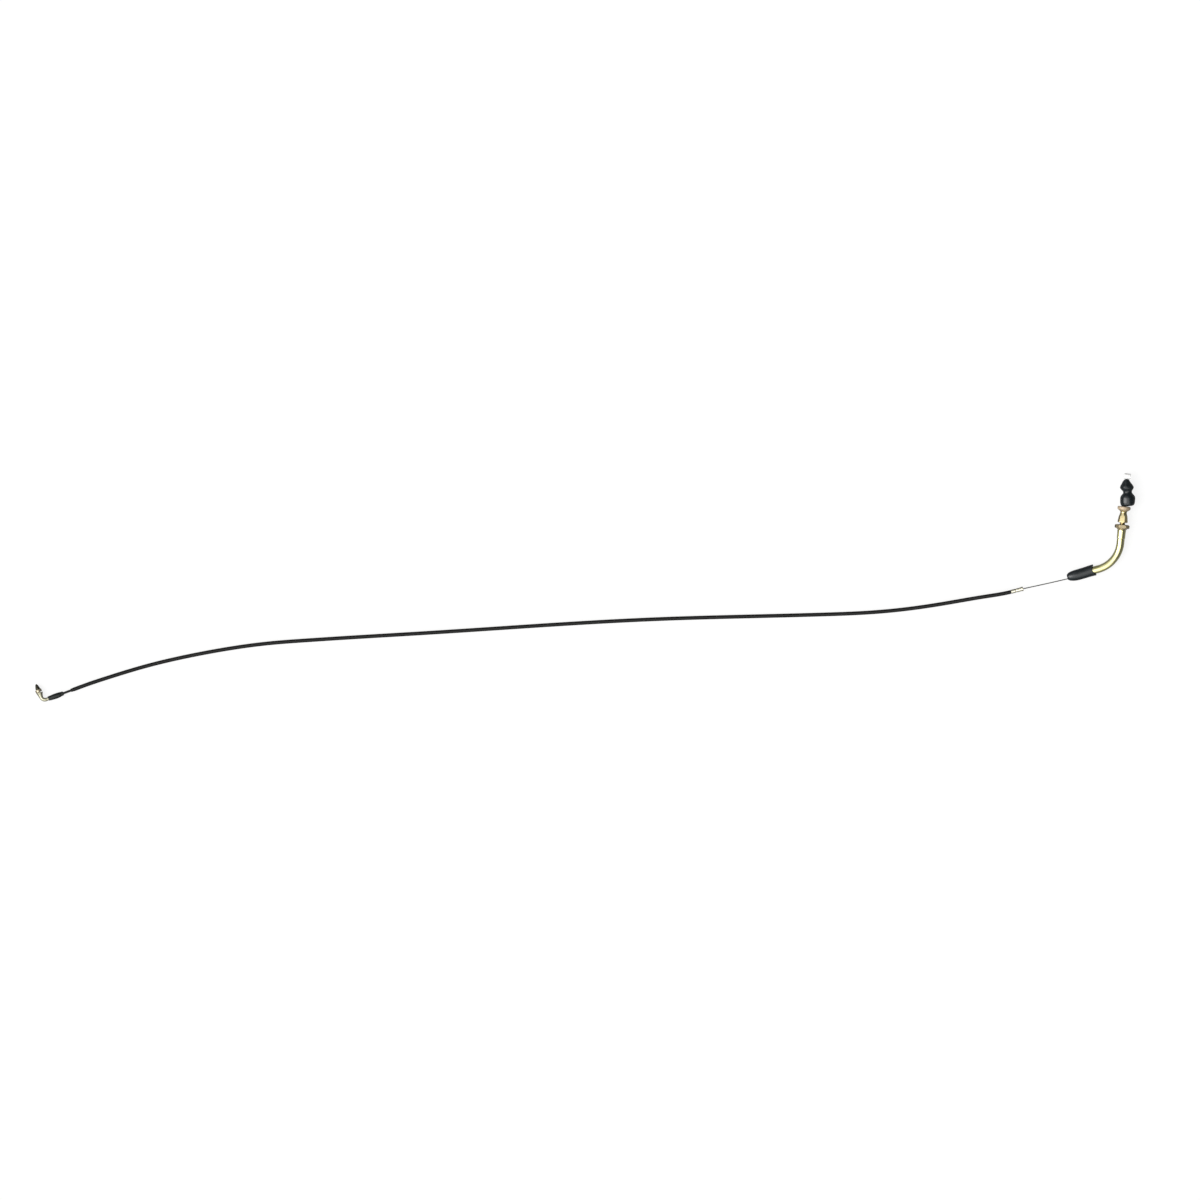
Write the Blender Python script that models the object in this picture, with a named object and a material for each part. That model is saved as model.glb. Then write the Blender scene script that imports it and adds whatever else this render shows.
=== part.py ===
"""Throttle cable, lying at rest on a flat surface.

A long black housing (plastic jacket over a wound steel conduit with a slippery
liner) carries one stranded inner wire.  At the grip end a bent steel elbow
tube with a threaded cable adjuster has been drawn back along the bare wire, so
that the housing's end ferrule and a length of wire show.  At the other end a
rubber sleeve joins the housing to a small bent pipe with a flared mouth, a
seat cup and a pear shaped nipple.

Metres, +Z up, resting on z = 0, +X along the housing.
"""

import math

import bmesh
import bpy
import numpy as np
from mathutils import Matrix, Vector

# ----------------------------------------------------------------- dimensions
MM = 0.001
PX = 1.3 * MM                 # plan grid pitch used for the layout of the cable
GRID_X, GRID_Y = 584.810, 586.798   # grid point that lies over the origin

# housing
JACKET_R, JACKET_BORE_R = 2.5 * MM, 1.95 * MM
JACKET_Z = 2.38 * MM          # height of its axis where it lies on the surface
CONDUIT_R, CONDUIT_BORE_R = 1.6 * MM, 1.22 * MM
LINER_R, LINER_BORE_R = 1.05 * MM, 0.82 * MM
WIRE_R = 0.65 * MM
JACKET_POINTS, CORE_POINTS = 80, 61
LEFT_Z = 4.5 * MM             # height of the axis in the left hand fittings
RIGHT_Z = 6.5 * MM            # height of the axis of ferrule, bare wire and cap
LEFT_SETTLE, RIGHT_SETTLE = 110 * MM, 150 * MM   # where the housing comes down

# grip end: straight line of ferrule, bare wire, cap and lower elbow tube
U_DEG = 14.6                  # its direction in plan
FERRULE_FACE = (1023.0, 588.3)    # grid point of the ferrule's front face
FERRULE_LEN = 16.0 * MM
FERRULE_R, FERRULE_LIP_R = 2.6 * MM, 2.85 * MM
BARE_LEN = 60.6 * MM          # bare wire between ferrule and cap
SEAT_DEPTH = 14.0 * MM        # from the cap's small end to the liner inside
TRAVEL = 74.0 * MM            # how far the elbow slides until it seats

# elbow
TUBE_R, TUBE_BORE_R = 5.0 * MM, 3.8 * MM
TUBE_START = 12.0 * MM        # lower tube end, from the cap's small end
BEND_START = 40.0 * MM
BEND_R = 39.0 * MM
V_DEG = 84.2                  # direction of the upper elbow in plan
V_TILT = 2.5                  # its rise above the floor, degrees
ELBOW_LINER_R, ELBOW_LINER_BORE_R = 3.4 * MM, 1.3 * MM
TUBE_END = 5.3 * MM           # distances along the upper elbow from the bend
COLLAR = (5.65 * MM, 17.6 * MM)
WASHER = (17.9 * MM, 19.0 * MM)
LOCKNUT = (19.3 * MM, 24.2 * MM)
LOCKNUT_AF = 17.0 * MM
THREAD_R = 3.75 * MM
THREAD_PITCH = 1.25 * MM
SHANK_START = 11.0 * MM
HEX = (27.0 * MM, 34.0 * MM)   # full hexagon; a cone runs from it to the neck
NECK = (39.4 * MM, 40.6 * MM)
HEX_AF = 12.0 * MM
NECK_R = 3.4 * MM
FLANGE = (44.0 * MM, 48.0 * MM)
FLANGE_R = 8.5 * MM
SPIGOT_R, SPIGOT_END = 2.4 * MM, 53.0 * MM
BOOT = (48.4 * MM, 83.7 * MM)
NIPPLE_T = 87.6 * MM          # middle of the barrel nipple
NIPPLE_R, NIPPLE_LEN = 3.5 * MM, 8.3 * MM
TAIL_START = 14.0 * MM        # where the straight tail of the wire begins

# carburettor end
SLEEVE_END = (48.5, 698.3)    # grid points on the sleeve's axis
SLEEVE_MOUTH = (63.5, 692.8)
SLEEVE_R = 3.55 * MM
PIPE_R, PIPE_BORE_R = 2.15 * MM, 1.25 * MM
PIPE_BEND_R = 5.0 * MM
PIPE_CORNER = 4.9             # grid steps from the sleeve's end to the corner
D_DEG = 119.0                 # direction of the mouth in plan
FLARE = (3.6 * MM, 7.5 * MM)  # distances along the mouth from the bend
CUP = (7.9 * MM, 11.6 * MM)
CUP_R = 4.3 * MM
LEFT_NIPPLE = (10.2 * MM, 19.0 * MM)

SIDES = 24                    # facets round a turned piece


# ------------------------------------------------------------------ materials
def material(name, colour, roughness, metallic):
    m = bpy.data.materials.new(name)
    m.use_nodes = True
    b = m.node_tree.nodes["Principled BSDF"]
    b.inputs["Base Color"].default_value = (*colour, 1.0)
    b.inputs["Roughness"].default_value = roughness
    b.inputs["Metallic"].default_value = metallic
    m.diffuse_color = (*colour, 1.0)
    return m


# --------------------------------------------------------------------- frames
def grid(px, py, z=0.0):
    return Vector(((px - GRID_X) * PX, (GRID_Y - py) * PX, z))


def heading(deg, tilt=0.0):
    a, t = math.radians(deg), math.radians(tilt)
    return Vector((math.cos(a) * math.cos(t), math.sin(a) * math.cos(t), math.sin(t)))


def frame_at(origin, direction):
    """Local +Z along direction, local +X level and to its right, local +Y downward."""
    z = Vector(direction).normalized()
    x = Vector((0, 0, 1)).cross(z).normalized() * -1.0
    y = z.cross(x)
    m = Matrix((x, y, z)).transposed().to_4x4()
    m.translation = origin
    return m


U = heading(U_DEG)
V = heading(V_DEG, V_TILT)
FACE = grid(*FERRULE_FACE, RIGHT_Z)
CAP_END = FACE + U * BARE_LEN
BEND_A = CAP_END + U * BEND_START
BEND_ANGLE = U.angle(V)
BEND_W = (V - U * math.cos(BEND_ANGLE)).normalized()
BEND_B = BEND_A + U * (BEND_R * math.sin(BEND_ANGLE)) + BEND_W * (BEND_R * (1 - math.cos(BEND_ANGLE)))

SLEEVE_DIR = (grid(*SLEEVE_END) - grid(*SLEEVE_MOUTH)).normalized()
D = heading(D_DEG)
PIPE_ANGLE = SLEEVE_DIR.angle(D)
PIPE_W = (D - SLEEVE_DIR * math.cos(PIPE_ANGLE)).normalized()
CORNER = grid(*SLEEVE_END, LEFT_Z) + SLEEVE_DIR * (PIPE_CORNER * PX)
PIPE_A = CORNER - SLEEVE_DIR * (PIPE_BEND_R * math.tan(PIPE_ANGLE / 2))
PIPE_B = CORNER + D * (PIPE_BEND_R * math.tan(PIPE_ANGLE / 2))


def on_u(t):
    return CAP_END + U * t


def on_v(t):
    return BEND_B + V * t


def on_d(t):
    return PIPE_B + D * t


def arc(start, direction, side, radius, angle, steps):
    return [
        start + direction * (radius * math.sin(angle * i / steps)) + side * (radius * (1 - math.cos(angle * i / steps)))
        for i in range(steps + 1)
    ]


# --------------------------------------------------- the housing's own route
# plan points that the middle of the housing passes through
ROUTE = [
    (63.5, 692.8), (71.0, 690.05), (92.0, 682.4), (106.0, 677.8), (146.0, 665.7),
    (186.0, 656.2), (226.0, 648.7), (266.0, 643.2), (306.0, 640.0), (346.0, 637.4),
    (426.0, 632.6), (506.0, 627.4), (586.0, 622.3), (666.0, 618.4), (746.0, 616.1),
    (826.0, 614.0), (866.0, 612.3), (906.0, 608.7), (946.0, 602.8), (986.0, 596.0),
]


def smooth_curve(points, first, last, samples):
    """Cubic spline through points with given end directions, evenly resampled."""
    p = np.array([[q.x, q.y] for q in points])
    t = np.concatenate([[0.0], np.cumsum(np.linalg.norm(np.diff(p, axis=0), axis=1))])
    n, h = len(p), np.diff(t)
    a, b = np.zeros((n, n)), np.zeros((n, 2))
    a[0, 0], b[0] = 1.0, first
    a[-1, -1], b[-1] = 1.0, last
    for i in range(1, n - 1):
        a[i, i - 1], a[i, i], a[i, i + 1] = 1 / h[i - 1], 2 / h[i - 1] + 2 / h[i], 1 / h[i]
        b[i] = 3 * ((p[i] - p[i - 1]) / h[i - 1] ** 2 + (p[i + 1] - p[i]) / h[i] ** 2)
    slope = np.linalg.solve(a, b)
    s = np.linspace(0.0, t[-1], samples)
    k = np.clip(np.searchsorted(t, s, side="right") - 1, 0, n - 2)
    x = ((s - t[k]) / h[k])[:, None]
    hk = h[k][:, None]
    out = (
        (1 + 2 * x) * (1 - x) ** 2 * p[k] + x * (1 - x) ** 2 * hk * slope[k]
        + x * x * (3 - 2 * x) * p[k + 1] + x * x * (x - 1) * hk * slope[k + 1]
    )
    return out


def ease(x):
    x = min(max(x, 0.0), 1.0)
    return x * x * (3 - 2 * x)


def housing_route():
    """Dense points from the sleeve's mouth to the back of the ferrule."""
    back = FACE - U * FERRULE_LEN
    points = [grid(*q) for q in ROUTE] + [Vector((back.x, back.y, 0))]
    flat = smooth_curve(points, (-SLEEVE_DIR.x, -SLEEVE_DIR.y), (U.x, U.y), 4000)
    run = np.concatenate([[0.0], np.cumsum(np.linalg.norm(np.diff(flat, axis=0), axis=1))])
    left = run - 12 * MM
    right = run[-1] - run - 6 * MM
    z = np.array([
        JACKET_Z + (LEFT_Z - JACKET_Z) * ease(1 - a / LEFT_SETTLE) + (RIGHT_Z - JACKET_Z) * ease(1 - b / RIGHT_SETTLE)
        for a, b in zip(left, right)
    ])
    return np.column_stack([flat, z]), run


DENSE, RUN = housing_route()
JACKET_START = (grid(71.0, 690.05) - grid(*SLEEVE_MOUTH)).length


def route_points(start, end, count):
    s = np.linspace(start, end, count)
    return [Vector([float(np.interp(x, RUN, DENSE[:, k])) for k in range(3)]) for x in s]


# ------------------------------------------------------------ building blocks
def link(name, data, mat, parent=None):
    ob = bpy.data.objects.new(name, data)
    bpy.context.scene.collection.objects.link(ob)
    if mat is not None:
        data.materials.append(mat)
    if parent is not None:
        ob.parent = parent
    return ob


def pivot(name, place):
    e = bpy.data.objects.new(name, None)
    e.empty_display_size = 0.01
    e.matrix_world = place
    bpy.context.scene.collection.objects.link(e)
    return e


def turned_mesh(name, profile, sides=SIDES, phase=0.0):
    """A closed outline of (distance along, radius) points turned about +Z."""
    bm = bmesh.new()
    start = Matrix.Rotation(phase, 4, "Z")
    verts = [bm.verts.new(start @ Vector((r, 0, t))) for t, r in profile]
    n = len(verts)
    edges = [
        bm.edges.new((verts[i], verts[(i + 1) % n]))
        for i in range(n)
        if not (profile[i][1] == 0 and profile[(i + 1) % n][1] == 0)
    ]
    bmesh.ops.spin(
        bm, geom=verts + edges, cent=(0, 0, 0), axis=(0, 0, 1), angle=2 * math.pi,
        steps=sides, use_merge=True, use_duplicate=False,
    )
    bmesh.ops.remove_doubles(bm, verts=bm.verts, dist=1e-6)
    bmesh.ops.dissolve_degenerate(bm, edges=bm.edges, dist=1e-7)
    bmesh.ops.recalc_face_normals(bm, faces=bm.faces)
    if bm.calc_volume(signed=True) < 0:
        bmesh.ops.reverse_faces(bm, faces=bm.faces)
    me = bpy.data.meshes.new(name)
    bm.to_mesh(me)
    bm.free()
    me.shade_smooth()
    me.set_sharp_from_angle(angle=math.radians(38))
    return me


def ring_mesh(name, outline, sides=SIDES):
    """Like a turned mesh, but each (distance, radius, sideways shift) ring may sit off the axis."""
    bm = bmesh.new()
    rings = [
        [bm.verts.new((r * math.cos(2 * math.pi * k / sides) + dx, r * math.sin(2 * math.pi * k / sides), t)) for k in range(sides)]
        for t, r, dx in outline
    ]
    return closed_from_rings(name, bm, rings, sides, wrap=True)


def closed_from_rings(name, bm, rings, sides, wrap):
    n = len(rings)
    for i in range(n if wrap else n - 1):
        a, b = rings[i], rings[(i + 1) % n]
        for k in range(sides):
            bm.faces.new((a[k], a[(k + 1) % sides], b[(k + 1) % sides], b[k]))
    bmesh.ops.recalc_face_normals(bm, faces=bm.faces)
    if bm.calc_volume(signed=True) < 0:
        bmesh.ops.reverse_faces(bm, faces=bm.faces)
    me = bpy.data.meshes.new(name)
    bm.to_mesh(me)
    bm.free()
    me.shade_smooth()
    me.set_sharp_from_angle(angle=math.radians(38))
    return me


def level_pipe(name, stations, mat, sides=16):
    """A pipe in a level plane: stations are (centre, direction, outer radius, bore radius)."""
    bm = bmesh.new()

    def ring(p, d, r):
        side = Vector((0, 0, 1)).cross(d).normalized()
        return [bm.verts.new(p + side * (r * math.cos(2 * math.pi * k / sides)) + Vector((0, 0, r * math.sin(2 * math.pi * k / sides)))) for k in range(sides)]

    outer = [ring(p, d, r) for p, d, r, b in stations]
    inner = [ring(p, d, b) for p, d, r, b in stations]
    return link(name, closed_from_rings(name, bm, outer + inner[::-1], sides, wrap=True), mat)


def turned(name, profile, place, mat, parent=None, sides=SIDES, phase=0.0):
    ob = link(name, turned_mesh(name, profile, sides, phase), mat, parent)
    put(ob, place)
    return ob


def put(ob, place):
    if ob.parent is not None:
        ob.matrix_parent_inverse = Matrix.Identity(4)
        ob.matrix_basis = ob.parent.matrix_world.inverted() @ place
    else:
        ob.matrix_basis = place


def tube(name, points, radius, mat, bore=None, parent=None, resolution=2):
    """A round bar or tube along points: a bevelled poly curve."""
    cu = bpy.data.curves.new(name, "CURVE")
    cu.dimensions = "3D"
    cu.bevel_depth = radius
    cu.bevel_resolution = resolution
    cu.render_resolution_u = 0
    cu.use_fill_caps = bore is None
    sp = cu.splines.new("POLY")
    sp.points.add(len(points) - 1)
    anchor = parent.matrix_world.inverted() if parent is not None else Matrix.Identity(4)
    for q, p in zip(sp.points, points):
        q.co = (*(anchor @ p), 1.0)
    sp.use_smooth = True
    ob = link(name, cu, mat, parent)
    if bore is not None:
        wall = ob.modifiers.new("wall", "SOLIDIFY")
        wall.thickness = (radius - bore) * math.cos(math.pi / (4 + 2 * resolution))
        wall.offset = -1.0
        wall.use_even_offset = True
        wall.use_rim = True
    return ob


def cutter(name, mesh, place, parent=None):
    ob = link(name, mesh, None, parent)
    put(ob, place)
    ob.hide_render = True
    ob.display_type = "WIRE"
    return ob


def boolean(ob, other, operation):
    m = ob.modifiers.new(operation.lower(), "BOOLEAN")
    m.operation = operation
    m.solver = "EXACT"
    m.object = other
    return m


def hexagon(name, across_flats, low, high):
    r = across_flats / 2 / math.cos(math.pi / 6)
    return turned_mesh(name, [(low, 0.0), (low, r), (high, r), (high, 0.0)], sides=6)


# ---------------------------------------------------------------------- build
def build():
    for ob in list(bpy.data.objects):
        bpy.data.objects.remove(ob, do_unlink=True)

    black_plastic = material("black_plastic", (0.012, 0.012, 0.012), 0.42, 0.0)
    dark_steel = material("dark_steel", (0.06, 0.06, 0.06), 0.45, 0.8)
    white_plastic = material("white_plastic", (0.75, 0.75, 0.72), 0.5, 0.0)
    steel_wire = material("steel_wire", (0.42, 0.42, 0.42), 0.35, 1.0)
    bright_steel = material("bright_steel", (0.72, 0.70, 0.64), 0.28, 1.0)
    zinc_gold = material("zinc_gold", (0.80, 0.74, 0.45), 0.28, 1.0)
    bronze = material("bronze", (0.62, 0.46, 0.33), 0.35, 1.0)
    rubber = material("rubber", (0.022, 0.026, 0.028), 0.55, 0.0)
    diecast = material("diecast", (0.85, 0.85, 0.84), 0.3, 1.0)
    dark_metal = material("dark_metal", (0.06, 0.06, 0.045), 0.45, 0.7)

    # the joint axes
    swivel = pivot("axis_swivel", frame_at(FACE, U))
    elbow = pivot("axis_elbow_slide", frame_at(CAP_END, U))
    upper = pivot("axis_upper_elbow", frame_at(BEND_B, V))
    mouth = pivot("axis_mouth", frame_at(PIPE_B, D))
    u_frame, v_frame, d_frame = elbow.matrix_world, upper.matrix_world, mouth.matrix_world
    sleeve_frame = frame_at(grid(*SLEEVE_MOUTH, LEFT_Z), SLEEVE_DIR)

    # ---- housing: jacket, conduit, liner and the wire through them
    whole = float(RUN[-1])
    tube("outer_jacket", route_points(JACKET_START, whole - 0.3 * MM, JACKET_POINTS),
         JACKET_R, black_plastic, bore=JACKET_BORE_R, resolution=3)
    straight_in = [grid(*SLEEVE_MOUTH, LEFT_Z) + SLEEVE_DIR * (6.0 * MM)]
    core = straight_in + route_points(0.0, whole, CORE_POINTS) + [FACE - U * (4.0 * MM)]
    tube("conduit_coil", core, CONDUIT_R, dark_steel, bore=CONDUIT_BORE_R)
    tube("conduit_liner", core, LINER_R, white_plastic, bore=LINER_BORE_R)
    pipe_arc = arc(PIPE_A, SLEEVE_DIR, PIPE_W, PIPE_BEND_R, PIPE_ANGLE, 8)
    wire_points = [on_d(0.4 * MM)] + pipe_arc[::-1] + core[:-1] + [FACE - U * (0.3 * MM)]
    tube("wire_in_housing", wire_points, WIRE_R, steel_wire)

    # ---- ferrule on the housing's grip end: crimped tube with a rolled lip
    a, shoulder = -FERRULE_LEN, -3.6 * MM
    turned("right_ferrule", [
        (a, 1.95 * MM), (a, FERRULE_R - 0.15 * MM), (a + 0.4 * MM, FERRULE_R),
        (-10.6 * MM, FERRULE_R), (-10.2 * MM, FERRULE_R - 0.22 * MM),
        (-9.0 * MM, FERRULE_R - 0.22 * MM), (-8.6 * MM, FERRULE_R),
        (-2.0 * MM, FERRULE_R), (-1.6 * MM, FERRULE_LIP_R), (-0.3 * MM, FERRULE_LIP_R),
        (0.0, FERRULE_LIP_R - 0.25 * MM), (0.0, 1.0 * MM), (shoulder, 1.0 * MM), (shoulder, 1.95 * MM),
    ], frame_at(FACE, U), bright_steel)

    # ---- carburettor end: ferrule, rubber sleeve, pipe, cup, nipple
    # distances along the sleeve's axis from its mouth towards the corner
    sleeve_len = (grid(*SLEEVE_END) - grid(*SLEEVE_MOUTH)).length
    turned("left_ferrule", [
        (1.2 * MM, 1.9 * MM), (1.2 * MM, 2.5 * MM), (11.0 * MM, 2.5 * MM), (11.0 * MM, 1.0 * MM),
        (6.4 * MM, 1.0 * MM), (6.4 * MM, 1.9 * MM),
    ], sleeve_frame, bright_steel)
    turned("left_sleeve", [
        (0.0, 1.95 * MM), (0.0, 2.35 * MM), (1.6 * MM, 2.55 * MM), (4.2 * MM, 3.1 * MM),
        (7.5 * MM, 3.45 * MM), (10.5 * MM, SLEEVE_R), (14.0 * MM, 3.45 * MM), (17.5 * MM, 3.15 * MM),
        (sleeve_len - 1.0 * MM, 2.95 * MM), (sleeve_len, 2.75 * MM), (sleeve_len, 2.45 * MM),
        (11.3 * MM, 2.45 * MM), (11.0 * MM, 2.8 * MM), (0.9 * MM, 2.8 * MM), (0.6 * MM, 1.95 * MM),
    ], sleeve_frame, rubber)
    pipe_in = grid(*SLEEVE_MOUTH, LEFT_Z) + SLEEVE_DIR * (11.4 * MM)
    turn = PIPE_ANGLE / 8
    stations = [(pipe_in, SLEEVE_DIR, PIPE_R, PIPE_BORE_R)]
    stations += [
        (p, SLEEVE_DIR * math.cos(turn * i) + PIPE_W * math.sin(turn * i), PIPE_R, PIPE_BORE_R)
        for i, p in enumerate(pipe_arc)
    ]
    stations += [(on_d(t * MM), D, r * MM, b * MM) for t, r, b in (
        (FLARE[0] / MM, 2.2, 1.25), (4.6, 2.55, 1.4), (5.8, 3.4, 2.2), (6.9, 4.25, 3.2), (FLARE[1] / MM, 4.4, 3.7))]
    level_pipe("left_pipe", stations, bright_steel)
    turned("left_cup", [
        (CUP[0], 1.25 * MM), (CUP[0], CUP_R - 0.7 * MM), (CUP[0] + 0.5 * MM, CUP_R),
        (CUP[1] - 0.3 * MM, CUP_R), (CUP[1], CUP_R - 0.2 * MM), (CUP[1], 3.35 * MM),
        (LEFT_NIPPLE[0] - 0.3 * MM, 2.9 * MM), (LEFT_NIPPLE[0] - 0.3 * MM, 1.25 * MM),
    ], d_frame, bronze)
    n0, n1 = LEFT_NIPPLE
    turned("left_nipple", [
        (n0, 0.95 * MM), (n0, 2.35 * MM), (n0 + 0.6 * MM, 2.75 * MM), (n0 + 1.8 * MM, 3.0 * MM),
        (n0 + 3.2 * MM, 2.95 * MM), (n0 + 5.0 * MM, 2.4 * MM), (n0 + 6.8 * MM, 1.6 * MM),
        (n1 - 0.7 * MM, 1.0 * MM), (n1, 0.45 * MM), (n1, 0.0), (n0 + 4.5 * MM, 0.0), (n0 + 4.5 * MM, 0.95 * MM),
    ], d_frame, dark_metal, parent=mouth)
    tube("wire_tail_left", [on_d(0.8 * MM), on_d(n0 + 4.2 * MM)], WIRE_R, steel_wire, parent=mouth)

    # ---- bare wire between ferrule and cap
    tube("wire_bare", [FACE + U * (0.3 * MM), on_u(SEAT_DEPTH)], WIRE_R, steel_wire, parent=swivel)

    # ---- rubber cap on the elbow's lower end, with a fish mouth
    cap = turned("rubber_cap", [
        (0.0, 3.2 * MM), (0.0, 3.7 * MM), (0.8 * MM, 4.1 * MM), (2.2 * MM, 5.2 * MM), (4.6 * MM, 6.2 * MM),
        (7.5 * MM, 6.5 * MM), (20.0 * MM, 6.5 * MM), (33.0 * MM, 6.45 * MM), (34.2 * MM, 6.45 * MM), (35.6 * MM, 6.1 * MM),
        (35.6 * MM, 5.35 * MM), (11.6 * MM, 5.35 * MM), (11.6 * MM, 3.2 * MM),
    ], u_frame, rubber, parent=elbow)
    for v in cap.data.vertices:
        if v.co.z > 30 * MM:
            r = math.hypot(v.co.x, v.co.y)
            v.co.z -= 3.2 * MM * (v.co.y / r) ** 2
    # ---- elbow tube, its guide liner and the wire inside
    bend = arc(BEND_A, U, BEND_W, BEND_R, BEND_ANGLE, 12)
    tube("elbow_tube", [on_u(TUBE_START)] + bend + [on_v(TUBE_END)], TUBE_R, zinc_gold,
         bore=TUBE_BORE_R, parent=elbow, resolution=5)
    tube("elbow_liner", [on_u(SEAT_DEPTH)] + bend + [on_v(8.5 * MM)], ELBOW_LINER_R, white_plastic,
         bore=ELBOW_LINER_BORE_R, parent=elbow)
    tube("wire_in_elbow", [on_u(SEAT_DEPTH + 0.3 * MM)] + bend + [on_v(TAIL_START - 0.3 * MM)], WIRE_R,
         steel_wire, parent=elbow)
    c0, c1 = COLLAR
    turned("collar", [
        (c0, 4.05 * MM), (c0, 4.9 * MM), (c0 + 0.5 * MM, 5.2 * MM), (c1 - 5.0 * MM, 5.4 * MM),
        (c1 - 0.5 * MM, 5.7 * MM), (c1, 5.4 * MM), (c1, 4.05 * MM),
    ], v_frame, zinc_gold, parent=elbow)

    # ---- lock washer and lock nut
    turned("lock_washer", [
        (WASHER[0], 4.05 * MM), (WASHER[0], 6.6 * MM), (WASHER[1], 6.6 * MM), (WASHER[1], 4.05 * MM),
    ], v_frame, zinc_gold, parent=upper)
    h0, h1 = LOCKNUT
    corner = LOCKNUT_AF / 2 / math.cos(math.pi / 6)
    nut = turned("lock_nut", [
        (h0, 4.05 * MM), (h0, LOCKNUT_AF / 2 - 0.2 * MM), (h0 + 0.8 * MM, corner + 0.05 * MM),
        (h1 - 0.8 * MM, corner + 0.05 * MM), (h1, LOCKNUT_AF / 2 - 0.2 * MM), (h1, 4.05 * MM),
    ], v_frame, zinc_gold, parent=upper)
    boolean(nut, cutter("nut_hexagon", hexagon("nut_hexagon", LOCKNUT_AF, h0 - MM, h1 + MM), v_frame, upper), "INTERSECT")

    # ---- adjuster: threaded shank, hexagon, waist, flange and spigot
    x0, x1 = HEX
    hc = HEX_AF / 2 / math.cos(math.pi / 6)
    adj = turned("adjuster", [
        (SHANK_START, 1.1 * MM), (SHANK_START, THREAD_R - 0.5 * MM), (SHANK_START + 0.5 * MM, THREAD_R),
        (x0, THREAD_R), (x0, HEX_AF / 2 - 0.2 * MM), (x0 + 0.7 * MM, hc + 0.05 * MM), (x1, hc + 0.05 * MM),
        (NECK[0], NECK_R), (NECK[1], NECK_R), (FLANGE[0] - 1.6 * MM, 4.6 * MM),
        (FLANGE[0], FLANGE_R - 0.5 * MM), (FLANGE[0] + 0.6 * MM, FLANGE_R), (FLANGE[1] - 0.6 * MM, FLANGE_R),
        (FLANGE[1], FLANGE_R - 0.6 * MM), (FLANGE[1], SPIGOT_R), (SPIGOT_END - 0.4 * MM, SPIGOT_R),
        (SPIGOT_END, SPIGOT_R - 0.4 * MM), (SPIGOT_END, 1.1 * MM),
    ], v_frame, zinc_gold, parent=upper)
    # the hexagon is milled on the blank: a ring with a six sided hole takes the rounds off
    ring = turned_mesh("hexagon_ring", [
        (x0 - 0.4 * MM, 0.0), (x0 - 0.4 * MM, 12 * MM), (x1 + 3.0 * MM, 12 * MM), (x1 + 3.0 * MM, 0.0)])
    ring_ob = cutter("hexagon_ring", ring, v_frame, upper)
    boolean(ring_ob, cutter("adjuster_hexagon", hexagon("adjuster_hexagon", HEX_AF, x0 - 2 * MM, x1 + 5 * MM), v_frame, upper), "DIFFERENCE")
    boolean(adj, ring_ob, "DIFFERENCE")

    # ---- rubber boot over the adjuster's spigot: two lobes and a waist, leaning to one side
    b0, b1 = BOOT
    outside = [   # distance from the boot's mouth, radius, lean
        (0.0, 6.6, 3.2), (0.8, 7.7, 3.5), (2.6, 8.8, 3.7), (5.4, 9.3, 3.8), (10.5, 9.35, 3.8),
        (13.0, 8.7, 3.6), (15.6, 6.9, 3.2), (17.6, 5.4, 2.8), (19.0, 4.95, 2.6), (20.3, 5.4, 2.3),
        (22.8, 7.3, 1.7), (25.0, 8.7, 1.2), (26.0, 8.75, 1.0), (27.2, 8.2, 0.8), (30.4, 5.8, 0.3),
        (33.4, 3.7, 0.0), (34.9, 2.8, 0.0), (35.3, 2.4, 0.0),
    ]
    inside = [
        (35.3, 1.1, 0.0), (32.2, 1.1, 0.0), (26.8, 6.2, 0.9), (25.4, 6.4, 1.1), (20.6, 2.6, 1.2),
        (18.2, 2.6, 1.4), (12.8, 6.9, 3.4), (7.0, 7.3, 3.6), (4.0, 5.8, 3.2), (3.4, 2.75, 0.0), (0.0, 2.75, 0.0),
    ]
    boot = link("boot", ring_mesh("boot", [(b0 + t * MM, r * MM, dx * MM) for t, r, dx in outside + inside]), rubber, upper)
    put(boot, v_frame)

    # ---- barrel nipple on the wire's grip end
    across = V.cross(Vector((0, 0, 1))).normalized()
    half = NIPPLE_LEN / 2
    nip_frame = frame_at(on_v(NIPPLE_T), across)
    nip = turned("right_nipple", [
        (-half, 0.0), (-half, NIPPLE_R - 0.35 * MM), (-half + 0.35 * MM, NIPPLE_R),
        (half - 0.35 * MM, NIPPLE_R), (half, NIPPLE_R - 0.35 * MM), (half, 0.0),
    ], nip_frame, diecast, parent=upper)
    hole = turned_mesh("nipple_hole", [
        (NIPPLE_T - 6 * MM, 0.0), (NIPPLE_T - 6 * MM, 0.95 * MM), (NIPPLE_T + 1.5 * MM, 0.95 * MM), (NIPPLE_T + 1.5 * MM, 0.0)], sides=12)
    boolean(nip, cutter("nipple_hole", hole, v_frame, upper), "DIFFERENCE")
    tube("wire_tail_right", [on_v(TAIL_START), on_v(NIPPLE_T + 1.2 * MM)], WIRE_R, steel_wire, parent=upper)

    bpy.context.view_layer.update()


build()
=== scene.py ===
import math

import bmesh
import bpy
import numpy as np
from mathutils import Matrix, Vector


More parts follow.
